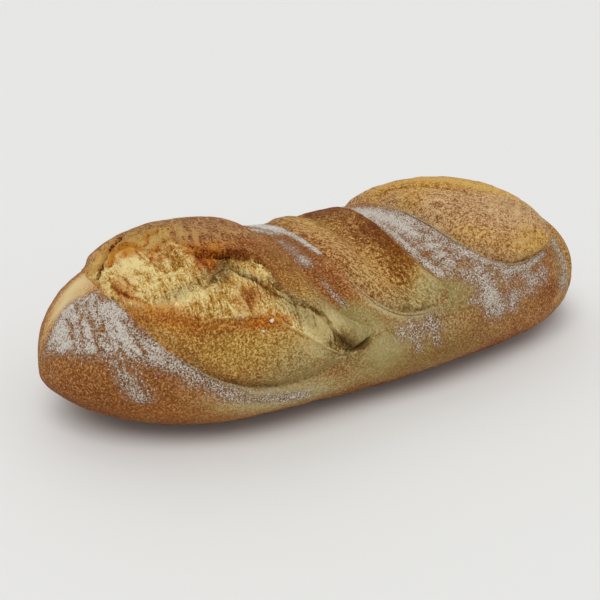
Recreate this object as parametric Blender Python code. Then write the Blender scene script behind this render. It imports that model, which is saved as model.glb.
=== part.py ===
"""A long white loaf, slashed three times across its back and baked on a flat deck.

The loaf is one solid. A smooth skin is worked out first, as a long form with a blunt near
end and a slimmer far end. Three slanting slashes then open in it: each is a lens that swells
out of the skin as a bulge, with a raised lip where the cut skin peels back and a ridge along
its other edge. The near slash has torn along its middle, under a rim of crust, and the far
end carries a short slash of its own. Last, the underside is cut flat where the dough lay.

Units are metres. The loaf lies along X with its near end at -X and its front towards -Y. It
stands on Z = 0, with the middle of its length and width over the origin.
"""

import bmesh
import bpy
import numpy as np

# Driving dimensions of the skin, before the slashes open.
HALF_LENGTH = 0.150
HALF_WIDTH = 0.062
SKIN_HEIGHT = 0.0785
BELT_HEIGHT = 0.027          # where the side stands out furthest
BELT_DROP = 0.0075           # how much lower that is at the far tip
BELT_DROP_POWER = 4          # and how late the drop sets in
SINK = 0.003                 # what the flat underside cuts away
WAIST = 0.120                # share by which the skin dips in mid loaf
WAIST_REACH = 0.070
END_TAPER = 0.080            # the near end is wider and the far end slimmer by this share
SIDE_SHIFT = 0.0014          # moves the loaf back, because its slashes swell more at the front

# How blunt each end is, near end first: powers of the plan, spine and underside outlines.
PLAN_BLUNTNESS = (3.4, 2.9)
PLAN_ROUNDING = (1.5, 1.95)
SPINE_BLUNTNESS = (4.7, 2.5)
KEEL_BLUNTNESS = (2.9, 4.0)
UPPER_SQUARENESS = 2.23      # power of the cross-section above the belt
LOWER_SQUARENESS = 2.35      # and below it

# Places on the skin are (along, down): metres along the loaf, and metres from the spine down
# the front, measured round a girth of this radius.
GIRTH_RADIUS = 0.058

# Each slash runs from its back tip to its front tip between two curved edges. An edge is a
# cubic curve, given by the two handles between the tips: left is the near lip, right the ridge.
# A ridge and a valley each have a height and a place, a share of the way from left to right.
SLASHES = {
    "near": {
        "back": (-0.106, -0.072), "front": (-0.005, 0.073),
        "left": ((-0.143, -0.010), (-0.116, 0.143)), "right": ((0.000, -0.090), (-0.061, 0.036)),
        "bulge": 0.0085, "ridge": (0.0025, 0.80), "valley": (0.0, 0.55),
    },
    "middle": {
        "back": (-0.015, -0.063), "front": (0.041, 0.065),
        "left": ((-0.017, -0.023), (-0.031, 0.093)), "right": ((0.058, -0.036), (-0.002, 0.003)),
        "bulge": 0.0024, "ridge": (0.0060, 0.84), "valley": (0.0030, 0.50),
    },
    "far": {
        "back": (0.034, -0.062), "front": (0.121, 0.045),
        "left": ((0.043, -0.025), (0.037, 0.098)), "right": ((0.092, -0.070), (0.120, -0.023)),
        "bulge": 0.0100, "ridge": (0.0015, 0.85), "valley": (0.0, 0.60),
    },
    "tip": {
        "back": (0.104, -0.040), "front": (0.119, 0.109),
        "left": ((0.117, 0.012), (0.138, 0.082)), "right": ((0.149, -0.020), (0.157, 0.087)),
        "bulge": 0.0018, "ridge": (0.0, 0.80), "valley": (0.0, 0.50),
    },
}
CREASE_WIDTH = 0.12          # of a ridge or a valley, as a share of the slash's width
RIDGE_START = (0.25, 0.60)   # the ridge comes up between these shares of the slash's length
DOME_SQUARENESS = 2.2        # powers of the bulge from edge to edge
DOME_FULLNESS = 0.7
TIP_BLUNTNESS = 2.6          # power by which a slash's relief dies away at its tips
LIP_HEIGHT = 0.0014          # the lip stands this proud of the skin, this far outside the edge
LIP_OFFSET = 0.0020
LIP_WIDTH = 0.0040
LIP_START = (0.05, 0.20)     # shares of the slash's length between which the lip comes up
LIP_END = (0.90, 1.0)        # and goes down
CUT_DEPTH = 0.0016           # inside the edge the crumb lies this much below the bulge
CUT_OFFSET = 0.0025
CUT_WIDTH = 0.0030
LEFT_RISE = 0.0060           # the bulge comes up over this distance along the left edge
RIGHT_FALL = 0.0080          # and goes down over this one along the right
PLAIN_ENDS = 0.04            # share of the half length over which all relief fades at each end

# The torn band along the near slash: a trough that deepens towards the rim above it.
TEAR = {"back": (-0.112, -0.045), "front": (-0.018, 0.081),
        "left": ((-0.139, 0.080), (-0.075, 0.014)), "right": ((-0.075, 0.000), (-0.045, 0.010))}
TEAR_DEPTH = 0.0055
TEAR_WALL = 0.0050
TEAR_RIM = 0.0016
TEAR_RIM_WIDTH = 0.0060

# Slow unevenness of hand-shaped dough: the height of each wave, its length along the loaf and
# down it, and its lag in radians.
WAVES = ((0.0007, 0.095, 0.120, 0.9), (0.0004, 0.041, 0.086, 0.0))

# Facets: round the loaf, and from end to end.
SIDES = 60
RINGS = 96
CROWDING = 0.45              # how much closer the sides lie on top than underneath
SMOOTHING_PASSES = 2         # rounds off the steps where facets cross a slash's edge
SMOOTHING_SHARE = 0.5
SHARP_ANGLE = 50             # degrees, above which an edge between facets is shaded sharp
TINY = 1e-6                  # keeps a division clear of nothing

CRUST_COLOUR = (0.46, 0.24, 0.10, 1.0)
CRUST_ROUGHNESS = 0.85


def by_end(along, pair):
    """The near end's value where along is negative, and the far end's elsewhere."""
    return np.where(along < 0, pair[0], pair[1])


def signed_power(value, power):
    return np.sign(value) * np.abs(value) ** power


def smooth_step(value, low, high):
    share = np.clip((value - low) / (high - low), 0, 1)
    return share * share * (3 - 2 * share)


def hump(value, middle, width):
    return np.exp(-((value - middle) / width) ** 2)


def skin_points(along, down):
    """Points of the unslashed skin: superellipse sections on a plan, a spine and a keel line."""
    share = np.clip(along / HALF_LENGTH, -1, 1)
    plan = (1 - np.abs(share) ** by_end(along, PLAN_BLUNTNESS)) ** (1 / by_end(along, PLAN_ROUNDING))
    spine = np.sqrt(1 - np.abs(share) ** by_end(along, SPINE_BLUNTNESS))
    keel = np.sqrt(1 - np.abs(share) ** by_end(along, KEEL_BLUNTNESS))
    belt = BELT_HEIGHT - BELT_DROP * np.maximum(share, 0) ** BELT_DROP_POWER
    top = SKIN_HEIGHT * (1 - WAIST * hump(along, 0, WAIST_REACH))
    turn = down / GIRTH_RADIUS
    sine, cosine = np.sin(turn), np.cos(turn)
    upper = cosine >= 0
    power = np.where(upper, 2 / UPPER_SQUARENESS, 2 / LOWER_SQUARENESS)
    reach = np.abs(cosine) ** power
    across = SIDE_SHIFT - HALF_WIDTH * plan * (1 - END_TAPER * share) * signed_power(sine, power)
    up = belt + np.where(upper, (top - belt) * spine * reach, -(belt + SINK) * keel * reach)
    return np.stack((along, across, up), axis=-1)


def skin_normals(along, down, gap=0.0002):
    """Outward unit normals of the skin, from small differences along and down it."""
    inner = np.clip(along, gap - HALF_LENGTH, HALF_LENGTH - gap)
    slope_along = skin_points(inner + gap, down) - skin_points(inner - gap, down)
    slope_down = skin_points(inner, down + gap) - skin_points(inner, down - gap)
    normal = np.cross(slope_down, slope_along)
    return normal / np.maximum(np.linalg.norm(normal, axis=-1, keepdims=True), TINY ** 2)


def edge_curve(opening, side, steps=200):
    """A slash's edge as a cubic Bezier curve from its back tip to its front tip."""
    share = np.linspace(0, 1, steps)[:, None]
    points = [np.array(point) for point in (opening["back"], *opening[side], opening["front"])]
    weights = ((1 - share) ** 3, 3 * share * (1 - share) ** 2, 3 * share ** 2 * (1 - share), share ** 3)
    return sum(weight * point for weight, point in zip(weights, points))


def slash_place(along, down, opening):
    """Where skin places lie in a slash: the share of the way from the back tip to the front
    tip, how far in from the left and from the right edge, and the share of the way across.
    The line between the tips gives the first share and an offset from it, and an edge's slope
    turns an offset into a distance. The last value is false outside the slash's length."""
    back, front = np.array(opening["back"]), np.array(opening["front"])
    length = np.hypot(*(front - back))
    forward = (front - back) / length
    sideways = np.array((forward[1], -forward[0]))
    from_back = np.stack((along - back[0], down - back[1]), axis=-1)
    share = from_back @ forward / length
    distances = []
    for side, inward in (("left", 1), ("right", -1)):
        curve = edge_curve(opening, side) - back
        reach, offset = np.maximum.accumulate(curve @ forward), curve @ sideways
        slope = np.gradient(offset) / np.maximum(np.gradient(reach), TINY)
        beyond = inward * (from_back @ sideways - np.interp(share * length, reach, offset))
        distances.append(beyond / np.hypot(1, np.interp(share * length, reach, slope)))
    from_left, from_right = distances
    width = from_left + from_right
    across = np.clip(from_left / np.maximum(width, TINY), 0, 1)
    return share, from_left, from_right, across, (share > 0) & (share < 1) & (width > 0)


def end_fade(share):
    """One along most of a slash, falling to nothing at both tips."""
    return np.sqrt(1 - np.abs(2 * np.clip(share, 0, 1) - 1) ** TIP_BLUNTNESS)


def slash_relief(along, down, height, opening):
    """Height with one slash opened: a lip outside its left edge, and inside it the bulge, with
    a valley along its middle and a ridge near its right edge."""
    share, from_left, from_right, across, within = slash_place(along, down, opening)
    dome = (1 - np.abs(2 * across - 1) ** DOME_SQUARENESS) ** DOME_FULLNESS
    ridge_height, ridge_place = opening["ridge"]
    valley_depth, valley_place = opening["valley"]
    ridge = ridge_height * hump(across, ridge_place, CREASE_WIDTH) * smooth_step(share, *RIDGE_START)
    valley = valley_depth * hump(across, valley_place, CREASE_WIDTH)
    swell = opening["bulge"] * dome + ridge - valley
    inside = smooth_step(from_left, 0, LEFT_RISE) * smooth_step(from_right, 0, RIGHT_FALL) * within
    lip_share = smooth_step(share, *LIP_START) * (1 - smooth_step(share, *LIP_END)) * within
    lip = LIP_HEIGHT * hump(from_left, -LIP_OFFSET, LIP_WIDTH)
    cut = CUT_DEPTH * hump(from_left, CUT_OFFSET, CUT_WIDTH)
    return height * (1 - inside) + end_fade(share) * swell * inside + lip_share * (lip - cut)


def torn_relief(along, down, height):
    """Height with the tear sunk in: a trough deepest under the rim of crust on its right."""
    share, _, from_right, across, within = slash_place(along, down, TEAR)
    wall = smooth_step(from_right, 0, TEAR_WALL)
    rim = TEAR_RIM * hump(from_right, -TEAR_RIM_WIDTH / 2, TEAR_RIM_WIDTH)
    return height + within * end_fade(share) * (rim - TEAR_DEPTH * across * wall)


def wobble(along, down):
    """Slow waves under a millimetre high that run slantwise over the loaf."""
    return sum(height * np.sin(2 * np.pi * (along / length_along + down / length_down) + lag)
               for height, length_along, length_down, lag in WAVES)


def loaf_points(along, down):
    """Points of the finished loaf: the skin, raised and sunk along its own normals."""
    height = wobble(along, down)
    for opening in SLASHES.values():
        height = slash_relief(along, down, height, opening)
    height = torn_relief(along, down, height)
    height = height * smooth_step(1 - np.abs(along) / HALF_LENGTH, 0, PLAIN_ENDS)
    return skin_points(along, down) + skin_normals(along, down) * height[..., None]


def crust_material():
    material = bpy.data.materials.new("baked_crust")
    material.use_nodes = True
    shader = material.node_tree.nodes["Principled BSDF"]
    shader.inputs["Base Color"].default_value = CRUST_COLOUR
    shader.inputs["Roughness"].default_value = CRUST_ROUGHNESS
    shader.inputs["Metallic"].default_value = 0.0
    return material


def shape_ball(ball):
    """Turn a unit ball with its poles on Z into the loaf, with the poles at its two ends."""
    places = np.array([vertex.co for vertex in ball.verts])
    along = HALF_LENGTH * places[:, 2]
    longitude = np.arctan2(places[:, 1], places[:, 0])
    down = GIRTH_RADIUS * (longitude - CROWDING * np.sin(longitude))
    for vertex, point in zip(ball.verts, loaf_points(along, down)):
        vertex.co = point
    for _ in range(SMOOTHING_PASSES):
        bmesh.ops.smooth_vert(ball, verts=ball.verts[:], factor=SMOOTHING_SHARE, use_axis_x=True,
                              use_axis_y=True, use_axis_z=True)


def cut_underside_flat(ball):
    """Cut the loaf at Z = 0 and close it with one flat face, as the deck leaves it."""
    everything = ball.verts[:] + ball.edges[:] + ball.faces[:]
    cut = bmesh.ops.bisect_plane(ball, geom=everything, dist=TINY, plane_co=(0, 0, 0),
                                 plane_no=(0, 0, -1), clear_outer=True)
    rim = [item for item in cut["geom_cut"] if isinstance(item, bmesh.types.BMEdge)]
    bmesh.ops.edgeloop_fill(ball, edges=rim)
    bmesh.ops.recalc_face_normals(ball, faces=ball.faces[:])


def make_loaf(collection):
    ball = bmesh.new()
    bmesh.ops.create_uvsphere(ball, u_segments=SIDES, v_segments=RINGS, radius=1.0)
    shape_ball(ball)
    cut_underside_flat(ball)
    mesh = bpy.data.meshes.new("loaf")
    ball.to_mesh(mesh)
    ball.free()
    mesh.shade_smooth()
    mesh.set_sharp_from_angle(angle=np.radians(SHARP_ANGLE))
    mesh.materials.append(crust_material())
    loaf = bpy.data.objects.new("loaf", mesh)
    collection.objects.link(loaf)


for startup_object in list(bpy.data.objects):
    bpy.data.objects.remove(startup_object)
loaf_collection = bpy.data.collections.new("long_white_loaf")
bpy.context.scene.collection.children.link(loaf_collection)
make_loaf(loaf_collection)
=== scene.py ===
"""Looks of a long white loaf, slashed three times across its back.

Metres. The loaf lies along X with its near end at -X and its front towards -Y. Places on its
skin are (along, down): along the loaf, and from the spine down the front. The tables of ovals,
strokes, lines and rims hold such places, and their sizes, in millimetres.
"""

import bpy
import numpy as np
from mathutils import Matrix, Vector


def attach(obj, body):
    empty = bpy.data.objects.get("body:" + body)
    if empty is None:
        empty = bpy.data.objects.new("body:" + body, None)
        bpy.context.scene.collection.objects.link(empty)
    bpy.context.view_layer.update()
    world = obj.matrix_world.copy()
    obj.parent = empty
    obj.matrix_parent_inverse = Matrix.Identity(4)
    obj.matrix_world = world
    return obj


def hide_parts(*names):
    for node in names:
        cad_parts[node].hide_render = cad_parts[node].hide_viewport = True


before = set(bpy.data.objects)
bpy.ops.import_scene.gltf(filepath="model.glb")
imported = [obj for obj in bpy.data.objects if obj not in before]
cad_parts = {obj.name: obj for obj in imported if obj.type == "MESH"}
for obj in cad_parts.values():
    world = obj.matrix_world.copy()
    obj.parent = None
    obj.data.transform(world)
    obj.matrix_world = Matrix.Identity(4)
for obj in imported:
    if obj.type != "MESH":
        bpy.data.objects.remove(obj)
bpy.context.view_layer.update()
bpy.context.scene.view_settings.view_transform = "Standard"

# ---------------------------------------------------------------------------------------------
# The skin: the outside of the dough as it was shaped and proved, before the slashes opened.
# It bakes to a thin matt crust, red-brown at the blunt end, tan to pale along the lower front.
# ---------------------------------------------------------------------------------------------

HALF_LENGTH = 0.150
HALF_WIDTH = 0.062
SKIN_HEIGHT = 0.0785
BELT_HEIGHT = 0.027          # where the side stands out furthest
BELT_DROP = 0.0075           # how much lower that is at the far tip
BELT_DROP_POWER = 4
SINK = 0.003                 # what the flat underside cuts away
WAIST = 0.120                # share by which the skin dips in mid loaf
WAIST_REACH = 0.070
END_TAPER = 0.080
SIDE_SHIFT = 0.0014
PLAN_BLUNTNESS = (3.4, 2.9)  # near end first, as in the next three
PLAN_ROUNDING = (1.5, 1.95)
SPINE_BLUNTNESS = (4.7, 2.5)
KEEL_BLUNTNESS = (2.9, 4.0)
UPPER_SQUARENESS = 2.23
LOWER_SQUARENESS = 2.35
GIRTH_RADIUS = 0.058
PLAIN_ENDS = 0.04            # share of the half length over which all relief fades at each end
TINY = 1e-6
MM = 0.001


def by_end(along, pair):
    """The near end's value where along is negative, and the far end's elsewhere."""
    return np.where(along < 0, pair[0], pair[1])


def smooth_step(value, low, high):
    """Nothing below low, one above high, and an S-curve between them."""
    share = np.clip((value - low) / (high - low), 0, 1)
    return share * share * (3 - 2 * share)


def hump(value, middle, width):
    """A bell curve of height one."""
    return np.exp(-((value - middle) / width) ** 2)


def skin_points(along, down):
    """Superellipse sections whose width, crown and keel follow a plan, a spine and a keel line,
    each one minus a power of the share of the half length."""
    share = np.clip(along / HALF_LENGTH, -1, 1)
    plan = 1 - np.abs(share) ** by_end(along, PLAN_BLUNTNESS)
    plan = plan ** (1 / by_end(along, PLAN_ROUNDING))
    spine = np.sqrt(1 - np.abs(share) ** by_end(along, SPINE_BLUNTNESS))
    keel = np.sqrt(1 - np.abs(share) ** by_end(along, KEEL_BLUNTNESS))
    belt = BELT_HEIGHT - BELT_DROP * np.maximum(share, 0) ** BELT_DROP_POWER
    top = SKIN_HEIGHT * (1 - WAIST * hump(along, 0, WAIST_REACH))
    turn = down / GIRTH_RADIUS
    sine, cosine = np.sin(turn), np.cos(turn)
    upper = cosine >= 0
    power = np.where(upper, 2 / UPPER_SQUARENESS, 2 / LOWER_SQUARENESS)
    reach = np.abs(cosine) ** power
    side = np.sign(sine) * np.abs(sine) ** power
    across = SIDE_SHIFT - HALF_WIDTH * plan * (1 - END_TAPER * share) * side
    up = belt + np.where(upper, (top - belt) * spine * reach, -(belt + SINK) * keel * reach)
    return np.stack((along, across, up), axis=-1)


def skin_normals(along, down, gap=0.0002):
    """Outward unit normals: the cross product of small steps down and along the skin."""
    inner = np.clip(along, gap - HALF_LENGTH, HALF_LENGTH - gap)
    slope_along = skin_points(inner + gap, down) - skin_points(inner - gap, down)
    slope_down = skin_points(inner, down + gap) - skin_points(inner, down - gap)
    normal = np.cross(slope_down, slope_along)
    return normal / np.maximum(np.linalg.norm(normal, axis=-1, keepdims=True), TINY ** 2)


def raised(along, down, height):
    """Points at a height over the skin, along its normals, kept above the deck it lies on."""
    height = height * smooth_step(1 - np.abs(along) / HALF_LENGTH, 0, PLAIN_ENDS)
    points = skin_points(along, down) + skin_normals(along, down) * height[..., None]
    points[..., 2] = np.maximum(points[..., 2], 0)
    return points


def random_field(seed, *steps):
    """A smooth field from -1 to 1: random values at the knots of a lattice, blended by S-curves
    between them. The steps are the places counted in knots, one array for each direction."""
    steps = np.stack(np.broadcast_arrays(*steps), axis=-1)
    low = np.floor(steps).astype(np.int64)
    part = steps - low
    part = part * part * (3 - 2 * part)
    total = np.zeros(steps.shape[:-1])
    for corner in np.ndindex(*(2,) * steps.shape[-1]):
        knot = low + np.array(corner)
        mixed = sum(knot[..., axis] * prime for axis, prime in
                    zip(range(knot.shape[-1]), (73856093, 19349663, 83492791)))
        mixed = (mixed ^ seed * 40503) & 0x7FFFFFFF
        mixed = (mixed ^ mixed >> 13) * 1274126177 & 0x7FFFFFFF
        mixed = (mixed ^ mixed >> 16) * 461845907 & 0x7FFFFFFF
        mixed = mixed ^ mixed >> 15
        weight = np.prod(np.where(np.array(corner) == 1, part, 1 - part), axis=-1)
        total += weight * (mixed / 0x3FFFFFFF - 1)
    return total


def patches(seed, along, down, length, width=None):
    """A random field over the skin, with knots that many millimetres apart along and down."""
    return random_field(seed, along / (length * MM), down / ((width or length) * MM))


def ridges(field):
    """Sharp crests where a field from -1 to 1 crosses nothing, falling to -1 away from them."""
    return 1 - 2 * np.abs(field)


def ovals(along, down, entries):
    """The sum of soft ovals on the skin. Each is a middle along and down, two half sizes, a turn
    in degrees and a strength, and falls off as a bell curve of the distance in half sizes."""
    total = np.zeros_like(along)
    for middle_along, middle_down, half_length, half_width, turn, strength in entries:
        cosine, sine = np.cos(np.radians(turn)), np.sin(np.radians(turn))
        forward, aside = along / MM - middle_along, down / MM - middle_down
        u = (forward * cosine + aside * sine) / half_length
        v = (aside * cosine - forward * sine) / half_width
        total += strength * np.exp(-(u * u + v * v) ** 1.5)
    return total


def closed_mesh(name, rings, values):
    """A closed piece over rings of points, with quads between neighbouring rings and a fan to
    the middle of each end ring. Its faces are turned outwards by the sign of its volume. Each
    entry of values becomes an attribute of its points: a number, or a vector given by threes."""
    count, around = rings.shape[:2]
    points = np.concatenate((rings.reshape(-1, 3), rings[[0, -1]].mean(axis=1)))
    index = np.arange(count * around).reshape(count, around)
    after = np.roll(index, -1, axis=1)
    quads = np.stack((index[:-1], after[:-1], after[1:], index[1:]), axis=-1).reshape(-1, 4)
    first, last = np.full(around, count * around), np.full(around, count * around + 1)
    fans = np.concatenate((np.stack((after[0], index[0], first), axis=-1),
                           np.stack((index[-1], after[-1], last), axis=-1)))
    corners = points[quads]
    spread = np.cross(corners[:, 2] - corners[:, 0], corners[:, 3] - corners[:, 1])
    if np.einsum("ij,ij->", corners.mean(axis=1), spread) < 0:
        quads, fans = quads[:, ::-1], fans[:, ::-1]
    mesh = bpy.data.meshes.new(name)
    mesh.from_pydata(points.tolist(), [], quads.tolist() + fans.tolist())
    for key, value in values.items():
        parts = value if isinstance(value, tuple) else (value,)
        value = np.stack([part + np.zeros((count, around)) for part in parts], axis=-1)
        whole = np.concatenate((value.reshape(count * around, -1), value[[0, -1]].mean(axis=1)))
        kind, field = ("FLOAT", "value") if len(parts) == 1 else ("FLOAT_VECTOR", "vector")
        layer = mesh.attributes.new(key, kind, "POINT")
        layer.data.foreach_set(field, whole.ravel().astype(np.float32))
    mesh.shade_smooth()
    return mesh


def add_object(name, data):
    """An object at the origin that holds a mesh, a lamp or a camera, linked to the scene."""
    thing = bpy.data.objects.new(name, data)
    bpy.context.scene.collection.objects.link(thing)
    return thing


def place_piece(mesh, material):
    """Links a finished mesh as a piece that rides on the loaf and stands for its solid."""
    piece = add_object(mesh.name, mesh)
    mesh.materials.append(material)
    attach(piece, "root")
    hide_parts("loaf")


# The slashes run from back tip to front tip between two curved edges, each a cubic curve given
# by its two handles: left is the near lip, right the ridge. The lip stands up between two
# shares of the slash's length, and bed is how deep the skin lies under what burst out.
SLASHES = {
    "near": {
        "back": (-0.106, -0.072), "front": (-0.005, 0.073),
        "left": ((-0.143, -0.010), (-0.116, 0.143)), "right": ((0.000, -0.090), (-0.061, 0.036)),
        "bulge": 0.0080, "ridge": (0.0022, 0.80), "valley": (0.0, 0.55), "bed": 0.0085,
        "lip": (0.60, 0.80, 0.86, 0.95),
    },
    "middle": {
        "back": (-0.015, -0.063), "front": (0.041, 0.065),
        "left": ((-0.017, -0.023), (-0.031, 0.093)), "right": ((0.058, -0.036), (-0.002, 0.003)),
        "bulge": 0.0024, "ridge": (0.0058, 0.84), "valley": (0.0030, 0.50), "bed": 0.0055,
        "lip": (0.60, 0.86, 0.97, 1.0),
    },
    "far": {
        "back": (0.034, -0.062), "front": (0.121, 0.045),
        "left": ((0.043, -0.025), (0.037, 0.098)), "right": ((0.092, -0.070), (0.120, -0.023)),
        "bulge": 0.0096, "ridge": (0.0012, 0.85), "valley": (0.0, 0.60), "bed": 0.0045,
        "lip": (0.15, 0.55, 0.95, 1.0),
    },
    "tip": {
        "back": (0.104, -0.040), "front": (0.119, 0.109),
        "left": ((0.117, 0.012), (0.138, 0.082)), "right": ((0.149, -0.020), (0.157, 0.087)),
        "bulge": 0.0018, "ridge": (0.0, 0.80), "valley": (0.0, 0.50), "bed": 0.0030,
        "lip": (0.30, 0.55, 0.85, 1.0),
    },
}
LIP_HEIGHT = 0.0010
LIP_OFFSET = 0.0016
LIP_WIDTH = 0.0032
TIP_BLUNTNESS = 2.6


def edge_curve(opening, side, steps=200):
    """A slash's edge as a cubic Bezier curve from its back tip to its front tip."""
    share = np.linspace(0, 1, steps)[:, None]
    points = [np.array(point) for point in (opening["back"], *opening[side], opening["front"])]
    rest = 1 - share
    weights = (rest ** 3, 3 * share * rest ** 2, 3 * share ** 2 * rest, share ** 3)
    return sum(weight * point for weight, point in zip(weights, points))


def slash_axes(opening):
    """A slash's back tip, its length, and the directions forward along it and across it."""
    back, front = np.array(opening["back"]), np.array(opening["front"])
    length = np.hypot(*(front - back))
    forward = (front - back) / length
    return back, length, forward, np.array((forward[1], -forward[0]))


def edge_offset(opening, side, reach):
    """How far aside of the line between the tips an edge lies at a reach, and its slope there."""
    back, _, forward, sideways = slash_axes(opening)
    curve = edge_curve(opening, side) - back
    reaches, offsets = np.maximum.accumulate(curve @ forward), curve @ sideways
    slope = np.gradient(offsets) / np.maximum(np.gradient(reaches), TINY)
    return np.interp(reach, reaches, offsets), np.interp(reach, reaches, slope)


def slash_place(along, down, opening):
    """Where skin places lie in a slash: the share of the way from back tip to front tip, how
    far in from the left and the right edge, the share of the way across, and whether within."""
    back, length, forward, sideways = slash_axes(opening)
    from_back = np.stack((along - back[0], down - back[1]), axis=-1)
    reach, offset = from_back @ forward, from_back @ sideways
    left, left_slope = edge_offset(opening, "left", reach)
    right, right_slope = edge_offset(opening, "right", reach)
    from_left = (offset - left) / np.hypot(1, left_slope)
    from_right = (right - offset) / np.hypot(1, right_slope)
    width = from_left + from_right
    share = reach / length
    across = np.clip(from_left / np.maximum(width, TINY), 0, 1)
    return share, from_left, from_right, across, (share > 0) & (share < 1) & (width > 0)


def end_fade(share):
    """One along most of a slash, falling to nothing at both tips."""
    return np.sqrt(1 - np.abs(2 * np.clip(share, 0, 1) - 1) ** TIP_BLUNTNESS)


def lip_share(share, opening):
    """How far the lip stands up at each share of a slash's length."""
    start, full, fading, end = opening["lip"]
    return smooth_step(share, start, full) * (1 - smooth_step(share, fading, end))


def stroke(along, down, places, width, power=3):
    """A soft stroke along straight lines from place to place: a bell curve of the distance from
    the nearest of them, counted in half widths. A lower power makes its edge softer."""
    along, down, places = along / MM, down / MM, np.array(places)
    nearest = np.full(along.shape, np.inf)
    for start, way in zip(places[:-1], np.diff(places, axis=0)):
        forward, aside = along - start[0], down - start[1]
        part = np.clip((forward * way[0] + aside * way[1]) / (way @ way), 0, 1)
        nearest = np.minimum(nearest, np.hypot(forward - part * way[0], aside - part * way[1]))
    return np.exp(-(nearest / width) ** power)


# Flour sieved on the dough before it was slashed stays on the skin between the slashes. Strokes
# of it: the places they run through, half width and strength.
FLOUR_STROKES = (
    (((-141, 14), (-141, 30), (-140, 46)), 5.6, 1.05),
    (((-136, 8), (-133, 28), (-132, 52)), 6, 1.0),
    (((-127, 12), (-126, 34), (-124, 58)), 5.2, 0.78),
    (((-121, 28), (-121, 46), (-117, 60), (-110, 64)), 6.5, 0.98),
    (((-123, 64), (-121, 78), (-117, 88)), 5.5, 0.62),
    (((-112, 66), (-104, 71), (-96, 77)), 6, 0.58),
    (((-96, 78), (-82, 88), (-66, 97), (-48, 102)), 7, 0.5),
    (((-125, 44), (-110, 60), (-92, 74)), 12, 0.5),
    (((-138, 20), (-131, 34), (-125, 50)), 15, 0.64),
    (((-46, -34), (-34, -16), (-26, -6)), 5.2, 0.6),
    (((-28, -36), (-24, -23), (-21.5, -10)), 4.6, 1.5),
    (((-21.5, -12), (-19, 2), (-16, 16)), 2.4, 1.3), (((-28, 4), (-28, 14), (-27, 23)), 4, 0.58),
    (((-25, 38), (-24, 45), (-20, 53)), 1.8, 0.52),
    (((10, -34), (20, -16), (28, -6), (33, 4), (36, 14)), 9.5, 1.02),
    (((36, 12), (40, 28), (44, 44)), 9.5, 0.78),
    (((26, 0), (27, 17), (28, 28), (31, 40), (36, 50)), 2.8, 0.8),
    (((40, 0), (45, 20), (50, 36), (58, 48), (70, 56)), 4.4, 0.68),
    (((42, 42), (51, 54), (62, 62)), 9, 0.5), (((58, 56), (59, 66), (61, 75), (65, 80)), 8.4, 0.7),
    (((74, 60), (76, 72), (77, 81)), 8.4, 0.52), (((88, 62), (90, 74), (100, 68)), 9.5, 0.48),
    (((72, 60), (90, 61), (106, 54)), 3.6, 0.72), (((10.5, 71), (13, 80), (15, 90)), 3.4, 0.46),
    (((22, 73), (24.5, 82), (26, 89)), 3.2, 0.52), (((6, 78), (24, 78)), 9, 0.4),
    (((47, 70), (52, 74)), 3, 0.45), (((122, 48), (125, 66), (120, 84)), 5.6, 0.46),
    (((100, 16), (110, 30), (120, 44)), 3.4, 0.85), (((-92, -78), (-60, -74), (-30, -60)), 11, 0.6),
    (((70, -68), (95, -67), (115, -52)), 10, 0.6),
)
WRINKLE_WIDTH = 0.0022       # of the folds that run beside the near slash's edge
WRINKLE_LENGTH = 0.0200
WRINKLE_BAND = 0.036         # how far from that edge they reach
FURROW_WIDTH = 0.9           # half of it, in millimetres
CROSS_WRINKLES = ((34, 28, 11, 13, 0, 1.0), (48, 48, 12, 9, 0, 0.8))
# Furrows of the floured skin at the blunt end, bare of flour: the places they run through.
FURROWS = (
    ((-137.5, 16), (-137, 30), (-138, 47)), ((-131.5, 10), (-133, 30), (-135, 54)),
    ((-128, 14), (-130, 41), (-129, 58)), ((-125, 18), (-126, 43), (-124, 60), (-123, 73)),
    ((-122.5, 36), (-121.5, 56), (-120, 73), (-116, 86)), ((-118.5, 38), (-116.5, 52), (-112, 66)),
    ((29, 18), (36, 15), (42, 19)), ((30, 27), (37, 24), (44, 29)), ((32, 35), (40, 33), (47, 39)),
    ((35, 43), (43, 41), (52, 47)),
)


def skin_wrinkles(along, down):
    """Folds of the skin: a ridged field stretched along the near slash's left edge, another
    that crosses the strip between the middle and the far slash, and furrows cut into both."""
    share, from_left, _, _, _ = slash_place(along, down, SLASHES["near"])
    _, length, _, _ = slash_axes(SLASHES["near"])
    bend = 0.5 * patches(31, along, down, 12)
    reach = share * length / WRINKLE_LENGTH
    beside = ridges(random_field(32, from_left / WRINKLE_WIDTH + bend, reach))
    band = smooth_step(from_left, -WRINKLE_BAND, -0.6 * WRINKLE_BAND) * (from_left < 0)
    band = band * smooth_step(share, 0.30, 0.42) * (1 - smooth_step(share, 0.70, 0.86))
    crossing = ridges(random_field(33, down / WRINKLE_WIDTH + bend, along / (12 * MM)))
    folds = 0.7 * band * beside + ovals(along, down, CROSS_WRINKLES) * crossing
    wander = 0.9 * MM * patches(34, along, down, 6)
    for places in FURROWS:
        folds = folds - 1.6 * stroke(along + wander, down - wander, places, FURROW_WIDTH)
    return folds


def flour_cover(along, down):
    """How much flour lies at each place. It gathers in clouds and on the crests of folds."""
    cloud = patches(11, along, down, 7) + 0.7 * patches(12, along, down, 3)
    cover = np.zeros_like(along)
    for places, width, strength in FLOUR_STROKES:
        cover = np.maximum(cover, strength * stroke(along, down, places, width, 1.7))
    return np.clip(cover * (1 + 0.26 * cloud + 0.32 * skin_wrinkles(along, down)), 0, 1.4)


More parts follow.
